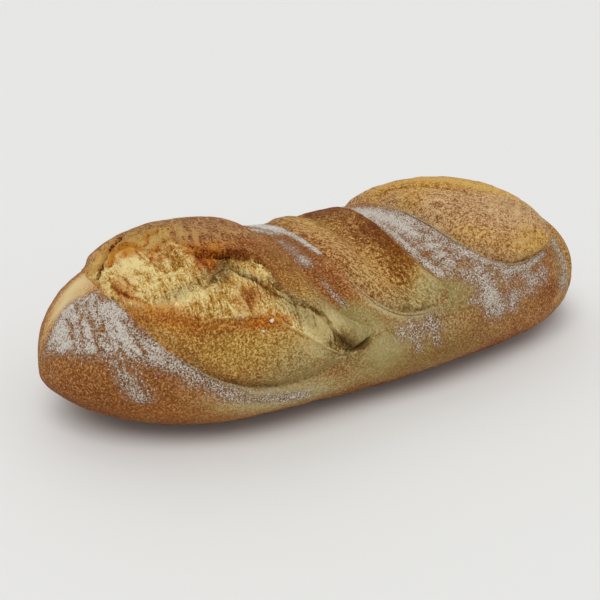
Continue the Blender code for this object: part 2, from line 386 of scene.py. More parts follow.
# How the skin's colour shifts, in ovals for each finish, and lighter or darker in shade.
SKIN_OVALS = {
    "olive": (
        (-22, 72, 14, 16, 0, 0.6), (6, 96, 46, 20, 0, 0.6), (-3, 78, 11, 16, 0, 0.9),
        (42, 62, 24, 18, 0, 0.58), (14, 83, 16, 12, 0, 0.3), (122, 70, 8, 22, 0, 0.55),
        (-60, 100, 32, 14, 8, 0.85), (30, 60, 16, 12, 20, 0.5), (-17, 62, 11, 11, 45, 0.6),
    ),
    "gold": (
        (-131, -6, 14, 14, 0, 0.8), (128, 66, 12, 30, 0, 0.12), (50, 94, 40, 18, 0, 0.3),
        (-10, 104, 40, 12, 0, 0.55), (-60, 122, 50, 14, 0, 0.25),
    ),
    # (-15, 79) darkens the hollow at the near slash's front tip where it reaches the skin: painted
    # shade.
    "shade": (
        (-125, 90, 40, 26, -20, -0.1), (-20, 112, 40, 12, 0, -0.08), (-60, 108, 36, 14, 6, 0.14),
        (16, 84, 14, 10, 0, 0.1), (-24, 34, 9, 50, -4, -0.12), (-3, 80, 13, 16, 0, 0.13),
        (110, 84, 16, 12, 0, -0.08), (36, 99, 36, 14, 0, -0.16), (130, 64, 9, 30, 0, 0.22),
        (-131, -6, 15, 14, 0, 0.6), (-62, 98, 30, 10, 8, 0.1), (-15, 79, 5, 3, -20, -0.5),
        (-60, 94, 40, 10, 12, 0.14),
    ),
}
# The skin grows darker towards the bottom: partly a deeper bake, partly painted shade where the
# side turns under.
BOTTOM_BROWN_AND_SHADE = (0.102, 0.126, 0.18)     # from where to where down the side, and how much darker
# Pale lines on the skin: the places they run through, half width and how much lighter.
PALE_LINES = ((((122, 45), (125.5, 60), (125, 70), (123.5, 78), (119, 87), (113, 93)), 2.6, 0.4),)


def tones(along, down, table, seed):
    """The named shifts of colour at each place, broken up by a soft random mottle."""
    mottle = patches(seed, along, down, 14) + 0.5 * patches(seed + 1, along, down, 5)
    found = {key: np.clip(ovals(along, down, entries) * (1 + 0.3 * mottle), 0, 1)
             for key, entries in table.items() if key != "shade"}
    return {**found, "shade": 0.5 + ovals(along, down, table["shade"]) + 0.05 * mottle}


WAVE_HEIGHT = 0.00060
WAVE_LENGTHS = (0.095, 0.120)           # along the loaf and round it


def skin_height(along, down):
    """Height of the skin: slow waves, small lumps, folds, a lip that stands up outside the left
    edge of each slash, and a bed sunk under what burst out of it."""
    waves = along / WAVE_LENGTHS[0] + down / WAVE_LENGTHS[1]
    height = WAVE_HEIGHT * np.sin(2 * np.pi * waves + 0.9)
    height += 0.35 * MM * patches(41, along, down, 11) + 0.18 * MM * patches(42, along, down, 4.5)
    height += 0.28 * MM * skin_wrinkles(along, down)
    for opening in SLASHES.values():
        share, from_left, from_right, _, within = slash_place(along, down, opening)
        lip = LIP_HEIGHT * hump(from_left, -LIP_OFFSET, LIP_WIDTH) * (from_left < 0)
        deep = smooth_step(from_left, 0.0004, 0.003) * smooth_step(from_right, 0.004, 0.008)
        height += within * (lip_share(share, opening) * lip - deep * opening["bed"])
    return height


SKIN_SMOOTH = (
    (-3, 80, 13, 16, 0, 1.0), (36, 60, 22, 10, 20, 0.5), (-16, 62, 12, 12, 45, 0.8),
    (-85, 108, 50, 18, 0, 0.6), (10, 100, 50, 16, 0, 0.5),
)
STREAK_WIDTH = 0.0009        # of the streaks in which the flour was rubbed down the skin
STREAK_LENGTH = 0.0045
STREAK_SLANT = 0.6
SKIN_RINGS = 372
SKIN_SIDES = 264
NEAR_BAND = (-0.118, 0.028, 1.3)        # where the points lie closer along the loaf, and how much
FRONT_BAND = (0.040, 0.075, 2.2)        # and round it


def spaced(low, high, count, band, ends=0.0):
    """Places from low to high, closer together in a band given by its middle, half width and
    extra density, and at both ends."""
    fine = np.linspace(low, high, 4000)
    middle, half, extra = band
    near_end = np.minimum(fine - low, high - fine)
    density = 1 + extra * np.exp(-((fine - middle) / half) ** 4) + ends * hump(near_end, 0, 0.006)
    total = np.cumsum(density)
    return np.interp(np.linspace(total[0], total[-1], count), total, fine)


skin_lengths = spaced(-HALF_LENGTH, HALF_LENGTH, SKIN_RINGS + 2, NEAR_BAND, 3.0)[1:-1]
skin_girth = spaced(-np.pi * GIRTH_RADIUS, np.pi * GIRTH_RADIUS, SKIN_SIDES + 1, FRONT_BAND)[:-1]
skin = skin_along, skin_down = np.meshgrid(skin_lengths, skin_girth, indexing="ij")
skin_tones = tones(*skin, SKIN_OVALS, 21)
# Darker towards the bottom: deeper bake and painted shade.
skin_tones["shade"] -= BOTTOM_BROWN_AND_SHADE[2] * smooth_step(np.abs(skin_down), *BOTTOM_BROWN_AND_SHADE[:2])
for places, width, strength in PALE_LINES:
    skin_tones["shade"] += strength * stroke(*skin, places, width, 2)
for opening in SLASHES.values():
    share, from_left, _, _, within = slash_place(*skin, opening)
    pale_edge = within * lip_share(share, opening) * hump(from_left, -0.0014, 0.0018)
    skin_tones["shade"] += 0.26 * pale_edge
    skin_tones["olive"] = np.clip(skin_tones["olive"] + 0.5 * pale_edge, 0, 1)
skin_smooth = np.clip(ovals(*skin, SKIN_SMOOTH), 0, 1)
skin_flour = flour_cover(*skin)
skin_sheared = skin_along - STREAK_SLANT * smooth_step(skin_along, -0.140, 0.0) * skin_down
skin_mesh = closed_mesh("floured_skin", raised(*skin, skin_height(*skin)), {
    **skin_tones, "grain": 0.40 * (1 - 0.7 * skin_smooth), "veins": 0.14 * (1 - skin_smooth),
    "fibre": 0.30 * skin_flour, "flour": skin_flour,
    "drawn": (skin_sheared / STREAK_WIDTH, skin_down / STREAK_LENGTH, 0)})


def linear(code):
    """A colour from its sRGB hex value, in linear light."""
    parts = np.array([int(code[i:i + 2], 16) for i in (1, 3, 5)]) / 255
    parts = np.where(parts <= 0.04045, parts / 12.92, ((parts + 0.055) / 1.055) ** 2.4)
    return (*parts, 1.0)


def add_node(tree, kind, settings=None, out=0, **inputs):
    """Adds a node with its settings, fills or links its inputs, named or by place as i0, and
    returns one output. Codes in the settings are the hex colours of a ramp, evenly spread."""
    node = tree.nodes.new("ShaderNode" + kind)
    for key, value in (settings or {}).items():
        if key != "codes":
            setattr(node, key, value)
            continue
        for _ in value[2:]:
            node.color_ramp.elements.new(0.5)
        places = np.linspace(0.1, 0.9, len(value))
        for element, place, code in zip(node.color_ramp.elements, places, value):
            element.position, element.color = place, linear(code)
    for key, value in inputs.items():
        socket = node.inputs[int(key[1:]) if key[1:].isdigit() else key]
        if isinstance(value, bpy.types.NodeSocket):
            tree.links.new(value, socket)
        else:
            socket.default_value = value
    return node.outputs[out]


def new_material(name, **values):
    """A material, its node tree, and its shader with plain values set, spaces in their names
    written as underscores."""
    material = bpy.data.materials.new(name)
    material.use_nodes = True
    shader = material.node_tree.nodes["Principled BSDF"]
    for key, value in values.items():
        shader.inputs[key.replace("_", " ")].default_value = value
    return material, material.node_tree, shader


# The darkest stop stands for the dark gaps between flour lumps: bare skin with painted shade.
FLOUR = ("#724a2a", "#b69474", "#d2bfa9", "#f4efe7")       # from bare skin to a heap
SOFT, SUM = {"interpolation_type": "SMOOTHSTEP"}, {"operation": "MULTIPLY_ADD"}
RGBA = {"data_type": "RGBA"}


def crust_material(name, base, finishes, swirl=1.0, relief=0.35):
    """Baked crust. Its tone is the shade attribute, and over it grain, pale veins and drawn-out
    fibres, each as strong as its attribute. The tone runs through the base ramp, and through one
    for each finish, mixed in by its attribute. Flour lies on top, as a veil and as specks."""
    material, tree, shader = new_material(name, Specular_IOR_Level=0.18)
    where = add_node(tree, "TexCoord", None, "Object")
    drawn = add_node(tree, "Attribute", {"attribute_name": "drawn"}, "Vector")
    held = {key: add_node(tree, "Attribute", {"attribute_name": key}, "Fac")
            for key in ("shade", "grain", "veins", "fibre", "flour", *finishes)}

    # Blisters of a baked crust are a tenth of a millimetre wide, and so are its curled flakes and
    # the lumps of sieved flour. They are drawn at 1.0, 2.2 and 0.75 mm, so that they show.
    fine = add_node(tree, "TexNoise", Vector=where, Scale=1 / (1.0 * MM), Detail=3.0, Roughness=0.8)
    curl = add_node(tree, "TexNoise", Vector=where, Scale=1 / (2.2 * MM), Detail=1.0,
                    Distortion=swirl)
    strand = add_node(tree, "TexNoise", Vector=drawn, Scale=1.0, Detail=2.0, Roughness=0.6,
                      Distortion=0.5)
    dust = add_node(tree, "TexNoise", Vector=where, Scale=1 / (0.75 * MM), Detail=3.0,
                    Roughness=0.7)
    grain = add_node(tree, "MapRange", SOFT, i0=fine, i1=0.33, i2=0.69, i3=-0.85, i4=1.0)
    crest = add_node(tree, "Math", {"operation": "PINGPONG"}, i0=curl, i1=0.5)
    vein = add_node(tree, "MapRange", SOFT, i0=crest, i1=0.41, i2=0.48)
    fibre = add_node(tree, "MapRange", i0=strand, i1=0.25, i2=0.75, i3=-1.0, i4=1.0)
    tone = held["shade"]
    for key, pattern in (("grain", grain), ("veins", vein), ("fibre", fibre)):
        tone = add_node(tree, "Math", SUM, i0=pattern, i1=held[key], i2=tone)
    colour = add_node(tree, "ValToRGB", {"codes": base}, Fac=tone)
    for key, codes in finishes.items():
        finish = add_node(tree, "ValToRGB", {"codes": codes}, Fac=tone)
        colour = add_node(tree, "Mix", RGBA, 2, i0=held[key], i6=colour, i7=finish)

    clumps = add_node(tree, "Math", SUM, i0=dust, i1=4.4, i2=-2.60)
    clumps = add_node(tree, "Math", SUM, i0=strand, i1=0.8, i2=clumps)
    heap = add_node(tree, "Math", SUM, i0=held["flour"], i1=0.75, i2=clumps)
    floured = add_node(tree, "ValToRGB", {"codes": FLOUR}, Fac=heap)
    veil = add_node(tree, "MapRange", SOFT, i0=held["flour"], i1=0.03, i2=0.60, i3=0.0, i4=0.94)
    colour = add_node(tree, "Mix", RGBA, 2, i0=veil, i6=colour, i7=floured)
    lift = add_node(tree, "Math", SUM, i0=heap, i1=veil, i2=tone)
    bump = add_node(tree, "Bump", Height=lift, Distance=relief * MM)
    gloss = add_node(tree, "MapRange", i0=veil, i3=0.66, i4=0.95)
    for key, value in (("Base Color", colour), ("Normal", bump), ("Roughness", gloss)):
        tree.links.new(value, shader.inputs[key])
    return material


BROWN = ("#6a2c02", "#985a20", "#d49e60")
GOLD = ("#7a4206", "#ac7a2a", "#e8c06c")
OLIVE = ("#6a5424", "#97844c", "#c8b886")
# Wheat crust, set and browned on an oven deck. To the eye it is matt, with a fine brown and tan
# grain, paler and more olive where it was shaded, and under a grey-beige veil where floured.
place_piece(skin_mesh, crust_material("floured_wheat_crust", BROWN, {
    "gold": ("#8c5a20", "#be9450", "#f0d8a0"), "olive": OLIVE}))

# ---------------------------------------------------------------------------------------------
# The near burst: new dough that swelled out of the first slash and browned last. Its crust tore
# along the middle, so pale strands of crumb show under an overhanging edge, down to a crack.
# ---------------------------------------------------------------------------------------------

CREASE_WIDTH = 0.12          # of a ridge or a valley, as a share of the slash's width
RIDGE_START = (0.25, 0.60)
DOME_SQUARENESS = 2.2
DOME_FULLNESS = 0.7
CUT_DEPTH = 0.0010
CUT_OFFSET = 0.0020
CUT_WIDTH = 0.0024
LEFT_RISE = 0.0060
RIGHT_FALL = 0.0080
LEFT_TUCK = 0.0022           # how far a burst runs on under the lip
RIGHT_TUCK = 0.0026          # and into the skin on its right
LEFT_DIVE = 0.9              # how steeply it goes down there
RIGHT_DIVE = 1.1
BURST_DEPTH = 0.0100         # how thick a burst is, mostly inside the loaf


def burst_height(along, down, opening):
    """Height of the plain burst over the skin: a dome from edge to edge with a ridge and a
    valley, a crease inside the lip, and a slope that dives under the skin past both edges."""
    share, from_left, from_right, across, _ = slash_place(along, down, opening)
    dome = (1 - np.abs(2 * across - 1) ** DOME_SQUARENESS) ** DOME_FULLNESS
    ridge_height, ridge_place = opening["ridge"]
    valley_depth, valley_place = opening["valley"]
    ridge = ridge_height * hump(across, ridge_place, CREASE_WIDTH)
    ridge = ridge * smooth_step(share, *RIDGE_START)
    valley = valley_depth * hump(across, valley_place, CREASE_WIDTH)
    swell = opening["bulge"] * dome + ridge - valley
    inside = smooth_step(from_left, 0, LEFT_RISE) * smooth_step(from_right, 0, RIGHT_FALL)
    cut = CUT_DEPTH * hump(from_left, CUT_OFFSET, CUT_WIDTH) * lip_share(share, opening)
    dive = LEFT_DIVE * np.maximum(-from_left, 0) + RIGHT_DIVE * np.maximum(-from_right, 0)
    sink = 0.0006 * (1 - smooth_step(from_right, 0, 0.0015))
    return end_fade(share) * swell * inside - cut - dive - sink


def burst_grid(opening, rows, columns, under=7):
    """Places of a burst: rows from tip to tip, each running from past the left edge to past
    the right one and then back underneath. The depth is a half wave along the way back."""
    back, length, forward, sideways = slash_axes(opening)
    share = (1 - np.cos(np.linspace(0, np.pi, rows + 2)[1:-1])) / 2
    left, _ = edge_offset(opening, "left", share * length)
    right, _ = edge_offset(opening, "right", share * length)
    home = np.linspace(1, 0, under + 2)[1:-1]
    step = np.concatenate((np.linspace(0, 1, columns), home))
    depth = np.concatenate((np.zeros(columns), np.sin(np.pi * home)))
    fade = end_fade(share)
    start, stop = left - LEFT_TUCK * fade, right + RIGHT_TUCK * fade
    offset = start[:, None] + (stop - start)[:, None] * step
    places = back + (share * length)[:, None, None] * forward + offset[..., None] * sideways
    return places[..., 0], places[..., 1], depth * BURST_DEPTH * fade[:, None]


def line_value(along, places, rounding=6):
    """Reads a line through (along, value) places in millimetres, with its corners rounded by
    that many passes of a three-point mean."""
    places = MM * np.array(places)
    table = np.linspace(places[0, 0], places[-1, 0], 600)
    values = np.interp(table, *places.T)
    for _ in range(rounding):
        values[1:-1] = (values[:-2] + 2 * values[1:-1] + values[2:]) / 4
    return np.interp(along, table, values)


# The tear runs between an upper and a lower edge, each a line of (along, down) places: two
# scalloped hoods, the overhang, then the crack down to the hollow at the slash's front tip.
TEAR_TOP = (
    (-124, -8), (-117, -3), (-112, 1), (-108, -5), (-104, -7), (-101, -5), (-98.5, 3), (-96, 9),
    (-94, 7), (-90, 4), (-86, 3), (-83, 6), (-80, 11), (-77, 15), (-72, 16.5), (-66, 16.5),
    (-60, 18), (-56, 21), (-53.5, 27), (-52.5, 34), (-51, 41), (-48, 47), (-43, 50), (-39, 54),
    (-35, 60), (-31, 66), (-27, 72), (-21, 79),
)
TEAR_LOW = (
    (-124, 26), (-116, 33), (-110, 39), (-103, 44), (-96, 50), (-89, 53), (-83, 52), (-77, 53),
    (-66, 54), (-61, 55), (-55, 60), (-49, 64), (-43, 69), (-37, 74), (-30, 79), (-21, 83),
)
TEAR_START = (-0.123, -0.118)
TEAR_STOP = (-0.026, -0.018)
# Along the tear, in millimetres: how deep it lies under its upper edge, how far down it stays
# deep, and how far the edge hangs over it.
TEAR_DEPTH = (
    (-124, 0.6), (-114, 1.4), (-105, 2.8), (-97, 1), (-90, 2.4), (-82, 1.8), (-76, 3.4), (-68, 5.6),
    (-60, 5), (-53, 3), (-46, 3.2), (-38, 2.8), (-30, 3.2), (-21, 2),
)
TEAR_REACH = ((-124, 6), (-90, 6), (-70, 10), (-58, 9), (-50, 5), (-21, 5))
OVERHANG = (
    (-124, 0), (-106, 1), (-97, 0), (-89, 0.9), (-80, 0.4), (-70, 2.6), (-58, 2.4), (-50, 1.2),
    (-30, 0.8), (-21, 0),
)
RIM_HEIGHT = 0.0009
CRUMB_EDGE = 0.0007
CURL_WIDTH = 0.0026          # of the curls on the crown left of the tear
CURL_LENGTH = 0.0040
STRAND_WIDTH = 0.0013
STRAND_LENGTH = 0.0090
STRAND_HEIGHT = 0.00050
FOLD_HEIGHT = 0.00070        # of the broader folds that the strands lie on
# A slit on the crown and two torn rims, by the places they run through.
SLIT = ((-119, 1), (-115, -3), (-111, -7), (-106, -10), (-101, -15))
LEFT_RIM = ((-101, 26), (-97, 23), (-94, 27), (-89, 25))
MIDDLE_RIM = ((-55, 29), (-54.5, 34), (-53, 38))
# Creases and crests in the torn crumb: the places they run through, half width and height.
TORN_STROKES = (
    (((-82, 34), (-75, 28), (-68, 23), (-60, 22)), 3, -2.2),
    (((-67, 31), (-62, 35), (-57, 41)), 1.1, -2),
    (SLIT, 1.3, -4),
    (((-54, 37), (-52, 41)), 1.2, -4), (((-70, 27), (-63, 27), (-56, 30)), 1.2, 1.4),
    (((-98, 20), (-93, 18), (-88, 21)), 1, 1.4), (((-54, 28), (-53.5, 33), (-52.5, 38)), 0.7, 1.4),
    (((-31, 73), (-26, 78), (-19, 80), (-12, 77)), 3, -2.6),
)
CROWN_CURLS = ((-101, -6, 21, 13, 10, 1.0), (-80, -4, 14, 10, 10, 0.6))


def tear_strands(along, down):
    """Strands of crumb down the tear: two ridged fields, narrow along the loaf and long down it,
    bent by a slower field, with small lumps on them."""
    bend = 1.6 * patches(51, along, down, 11)
    aside, length = along / STRAND_WIDTH, down / STRAND_LENGTH
    thin = ridges(random_field(52, aside + bend, length))
    thick = ridges(random_field(53, aside / 2.6 + bend, length / 0.9))
    return 0.6 * thin + 0.3 * thick + 0.4 * patches(54, along, down, 2.2, 2.6)


*near, near_depth = burst_grid(SLASHES["near"], 304, 292)
near_along, near_down = near
_, _, near_from_right, near_across, _ = slash_place(*near, SLASHES["near"])
below = near_down - line_value(near_along, TEAR_TOP)
above = line_value(near_along, TEAR_LOW) - near_down
tear_span = smooth_step(near_along, *TEAR_START) * (1 - smooth_step(near_along, *TEAR_STOP))
sharp = smooth_step(near_along, -0.100, -0.084)         # the lower edge is soft left of this
torn = tear_span * smooth_step(below, -0.0002, 0.0006)
torn = torn * smooth_step(above / (0.0006 + 0.0044 * (1 - sharp)), 0, 1)
strands = tear_strands(*near)
torn_folds = ridges(patches(48, *near, 6.0, 8.5))
sag = np.exp(-np.maximum(below, 0) / line_value(near_along, TEAR_REACH))
sag = line_value(near_along, TEAR_DEPTH) * sag
near_height = burst_height(*near, SLASHES["near"])
near_height += torn * (STRAND_HEIGHT * strands + FOLD_HEIGHT * torn_folds - sag)
near_height += tear_span * RIM_HEIGHT * hump(below, -0.0012, 0.0020) * (1 - torn)
torn_edge = hump(above, 0.0005, 0.0009) - 0.7 * hump(above, -0.0012, 0.0012)
near_height += tear_span * sharp * CRUMB_EDGE * torn_edge
for places, width, rise in TORN_STROKES:
    near_height += rise * MM * stroke(*near, places, width)
crown = (1 - torn) * ovals(*near, CROWN_CURLS)
crown_bend = 1.8 * patches(57, *near, 6)
curls = crown * ridges(random_field(
    58, near_along / CURL_WIDTH + crown_bend, near_down / CURL_LENGTH - crown_bend))
near_height += MM * (
    0.35 * curls + 0.26 * patches(43, *near, 7.5) + 0.12 * patches(44, *near, 2.8))
hanging = tear_span * line_value(near_along, OVERHANG) * hump(below, -0.0004, 0.0014)

NEAR_OVALS = {
    "gold": (
        (-102, -8, 20, 14, 0, 1.0), (-118, 0, 8, 12, 0, 0.6), (-92, 66, 26, 14, 20, 0.3),
        (-62, 72, 32, 18, 12, 0.85), (-40, 40, 12, 30, 0, 0.6), (-30, 58, 12, 20, 0, 0.25),
        (-86, -2, 14, 6, 0, 0.45), (-100, 50, 18, 8, 20, 0.7),
    ),
    "olive": (
        (-36, 83, 30, 17, 0, 0.85), (-62, 90, 26, 8, 4, 0.35), (-20, 64, 18, 13, 50, 0.88),
        (-31, 56, 12, 10, 50, 0.5),
    ),
    "rust": (
        (-76, 20, 5.5, 9, 40, 0.95), (-103, 1, 4, 6, 0, 0.7), (-93, 14, 4, 4, 0, 0.55),
        (-66, 44, 6, 9, 40, 0.58), (-64, 57, 13, 3.5, 0, 0.85), (-104, 44, 15, 6, 22, 0.76),
        (-90, 54, 12, 4.5, 10, 0.55), (-113, 24, 5, 12, 0, 0.4), (-100, -7, 19, 11, 0, 0.3),
        (-66, 13, 20, 4, 10, 0.62),
    ),
    # Grey-brown in the cavity under the overhang, in a crease, along the crack and in the hollow is
    # painted shade; at (-91, 36) it dulls a band of crumb.
    "grey": (
        (-73, 27, 12, 6, -40, 0.85), (-91, 36, 13, 3.5, -10, 0.65), (-62, 35, 8, 3, 50, 0.7),
        (-47, 52, 14, 6, 50, 0.8), (-27.5, 74, 13, 6.5, 40, 1.0), (-37, 67, 12, 6, 45, 0.62),
    ),
    # (-71, 25) and (-27.5, 74) darken the cavity under the overhang and the hollow at the front
    # tip: painted shade.
    "shade": (
        (-27.5, 74, 10, 5, 40, -0.32), (-107, 14, 10, 9, 0, 0.3), (-98, 26, 6, 4, 0, 0.14),
        (-88, 20, 8, 7, 0, -0.06), (-90, 39, 12, 4, -5, 0.3), (-108, 37, 9, 5, 30, 0.26),
        (-66, 14, 18, 4, 10, -0.03), (-71, 25, 10, 5, -40, -0.3), (-101, -8, 20, 13, 0, 0.44),
        (-72, -8, 36, 14, 10, 0.2), (-76, 44, 20, 10, 0, -0.04), (-108, 54, 16, 8, 30, 0.1),
        (-38, 66, 8, 12, 50, 0.46), (-50, 52, 6, 6, 50, 0.14), (-52, 76, 24, 12, 14, 0.04),
        (-86, 62, 16, 10, 20, -0.08), (-24, 63, 13, 8, 50, 0.12), (-45, 22, 10, 24, 20, -0.08),
    ),
}
# Lines of colour for each finish: the places they run through, half width, strength.
NEAR_LINES = {
    "rust": (
        (((-112, 1), (-108, -5), (-103, -6.5), (-99, -1), (-99, 10)), 1, 0.7),
        (((-99, 16), (-96, 10), (-92, 6), (-87, 6), (-84, 11)), 1.2, 0.7),
        (((-82, 14), (-78, 16), (-75, 24)), 1.6, 0.9),
        (((-115, 14), (-114, 24), (-111, 32), (-106, 40)), 1.2, 0.45),
        (((-108, -12), (-103, -17), (-98, -20)), 2.4, 0.6),
    ),
    "shade": (
        # The dark lines over the slit and its upper end, over the creases of the torn crumb and
        # along the crack are painted shade in those grooves.
        (((-116.5, 12), (-114.5, 22), (-112, 30), (-107.5, 36)), 0.7, -0.45),
        (((-112, 14), (-110, 24), (-106, 31)), 0.7, -0.35),
        (((-100.5, 2), (-101, 10), (-100, 18)), 0.7, -0.4),
        (((-109, -9), (-105, -12), (-100, -17)), 2, -0.8), (SLIT, 1.1, -0.9), (LEFT_RIM, 0.9, 0.34),
        (((-66, 31), (-62, 35), (-57, 41)), 0.8, -0.34), (((-54, 37), (-52, 42)), 0.9, -0.6),
        (((-53, 46), (-48, 50), (-43, 52), (-37, 57), (-33, 62)), 0.7, -0.55),
        (((-82, 36), (-76, 30), (-69, 26), (-62, 24)), 0.9, -0.22), (MIDDLE_RIM, 0.6, 0.4),
        (((-30, 81.5), (-23, 83.5), (-14, 81.5), (-10, 77), (-6, 72)), 0.8, 0.42),
        (((-22, 58), (-14, 62), (-10, 69), (-13, 75)), 0.7, 0.3),
    ),
    "grey": (
        # Grey-brown down the slit: painted shade in it.
        (SLIT, 1.2, 1.0),
    ),
}
FLECK_WIDTH = 0.0016         # of the pale curled flakes on the burst's crown
FLECK_LENGTH = 0.0036
FIBRE_WIDTH = 0.0015
FIBRE_LENGTH = 0.0080
NEAR_VEINS = (
    (-76, -6, 34, 18, 10, 0.46), (-100, -14, 18, 10, 0, 0.34), (-66, 70, 30, 14, 12, 0.14),
)
NEAR_SMOOTH = ((-23, 65, 16, 11, 50, 0.8), (-34, 86, 26, 10, 0, 0.6))
near_tones = tones(*near, NEAR_OVALS, 45)
near_tones["crumb"] = torn * (1 - 0.85 * near_tones["rust"])
wander = 0.8 * MM * patches(46, *near, 4)
for key, lines in NEAR_LINES.items():
    for places, width, strength in lines:
        line = stroke(near_along + wander, near_down - wander, places, width)
        near_tones[key] += strength * line
hood_rim = tear_span * hump(below, 0, 0.0012) * (1 - smooth_step(near_along, -0.058, -0.052))
near_tones["crumb"] *= 1 - 0.6 * hood_rim
near_tones["rust"] = np.clip(near_tones["rust"] + 0.35 * hood_rim, 0, 1)
near_tones["rust"] = np.clip(near_tones["rust"] + 0.95 * crown * np.clip(0.3 - curls, 0, 1), 0, 1)
fleck_bend = 1.4 * patches(55, *near, 4, 6)
flecks = smooth_step(ridges(random_field(
    56, near_along / FLECK_WIDTH + fleck_bend, near_down / FLECK_LENGTH - fleck_bend)), 0.35, 0.90)
near_tones["shade"] += torn * (0.28 * strands + 0.11 * torn_folds - 0.01) + 0.34 * curls
near_tones["shade"] += 0.36 * tear_span * sharp * hump(above, 0.0004, 0.0005)
near_tones["shade"] -= 0.16 * hood_rim * smooth_step(near_along, -0.082, -0.074)
near_tones["shade"] += (1 - torn) * ovals(*near, NEAR_VEINS[:2]) * (2.5 * flecks - 0.74)
near_smooth = np.clip(ovals(*near, NEAR_SMOOTH), 0, 1)
near_veined = (1 - torn) * ovals(*near, NEAR_VEINS)
near_bend = 1.2 * patches(47, *near, 9)
near_tones.update(
    grain=0.36 * (1 - 0.7 * near_smooth) + 0.5 * near_veined,
    veins=(1 - near_smooth) * (0.12 * (1 - torn) + near_veined),
    fibre=0.10 + 0.20 * torn,
    flour=flour_cover(*near) * (1 - smooth_step(near_from_right, 0, 0.007)) * (near_across > 0.5),
    drawn=(near_along / FIBRE_WIDTH + near_bend, near_down / FIBRE_LENGTH, 0))
near_points = raised(near_along, near_down + hanging, near_height - near_depth)

CRUMB = ("#7c4404", "#c49238", "#f5df9e")
RUST = ("#641e00", "#a65208", "#d89232")
# Grey-brown: painted shade in the tear's cavity, its crack and the hollow at the front tip, and the
# grey of some torn rims and a band of crumb.
GREY_AND_SHADE = ("#482e0c", "#886a36", "#c8b47a")
# Wheat crust of fresh dough, browned late, and torn crumb dried in the oven. To the eye it is
# golden with blisters, rust-brown at the rims and cream in the tear, with grey-brown painted shade
# deep in it.
golden_burst = crust_material("torn_golden_wheat_crust", BROWN, {
    "gold": GOLD, "olive": OLIVE, "crumb": CRUMB, "grey": GREY_AND_SHADE, "rust": RUST}, 1.4, 0.40)
place_piece(closed_mesh("near_burst", near_points, near_tones), golden_burst)

# ---------------------------------------------------------------------------------------------
# The middle burst: a narrow one, with a red-brown ridge along its right side and a paler valley
# whose stretched crust shows as fine specks drawn out along the slash.
# ---------------------------------------------------------------------------------------------

FIRM_FIBRE = (0.0012, 0.0036)           # width and length


def drawn_along(along, down, opening, width, length, seed):
    """Places counted in fibres drawn out along a slash: offset across it over their width, bent
    by a random field, and reach along it over their length."""
    _, _, forward, sideways = slash_axes(opening)
    offset = (along * sideways[0] + down * sideways[1]) / width
    reach = (along * forward[0] + down * forward[1]) / length
    return offset + 0.8 * patches(seed, along, down, 10), reach, 0


*middle, middle_depth = burst_grid(SLASHES["middle"], 270, 160)
_, _, middle_from_right, middle_across, _ = slash_place(*middle, SLASHES["middle"])
middle_height = burst_height(*middle, SLASHES["middle"]) + 0.30 * MM * patches(63, *middle, 6)
MIDDLE_OVALS = {
    "gold": ((-2, -14, 10, 24, -10, 0.6), (10, 36, 14, 18, 0, 0.45), (20, 52, 12, 12, 0, 0.5)),
    "olive": ((18, 62, 18, 12, 0, 0.75), (30, 50, 10, 10, 0, 0.6), (-6, 46, 10, 20, 0, 0.2)),
    # (42, 52) is a thin dark crease by the right edge: painted shade in it.
    "shade": (
        (-8, -4, 6, 22, -10, 0.16), (2, 26, 10, 24, -20, 0.14), (12, -26, 16, 18, 0, -0.34),
        (22, 10, 8, 40, 12, -0.42), (6, 2, 10, 16, -10, -0.16), (10, 24, 6, 14, 0, -0.08),
        (24, 52, 12, 8, 0, 0.16), (42, 52, 8, 1.4, 0, -0.26),
    ),
}
middle_tones = tones(*middle, MIDDLE_OVALS, 64)
middle_pale = hump(middle_across, 0.32, 0.36)
middle_edge = (1 - smooth_step(middle_from_right, 0, 0.005)) * (middle_across > 0.5)
middle_tones.update(
    grain=(0.34 + 0.14 * middle_pale) * (1 - 0.6 * middle_tones["olive"]),
    veins=0.10 + 0.16 * middle_pale,
    fibre=(0.22 + 0.30 * middle_pale) * (1 - 0.4 * middle_tones["olive"]),
    flour=flour_cover(*middle) * middle_edge,
    drawn=drawn_along(*middle, SLASHES["middle"], *FIRM_FIBRE, 61))
middle_points = raised(*middle, middle_height - middle_depth)
# Wheat crust, stretched while it set. To the eye it is red-brown, with pale drawn-out specks.
ridged_burst = crust_material("stretched_wheat_crust", ("#6a3004", "#965c20", "#d8a868"), {
    "gold": GOLD, "olive": OLIVE}, 1.0, 0.32)
place_piece(closed_mesh("middle_burst", middle_points, middle_tones), ridged_burst)

# ---------------------------------------------------------------------------------------------
# The far burst: a broad dome of blistered rosy crust, with a golden roll along its top, and
# small curled flakes near its right end.
# ---------------------------------------------------------------------------------------------

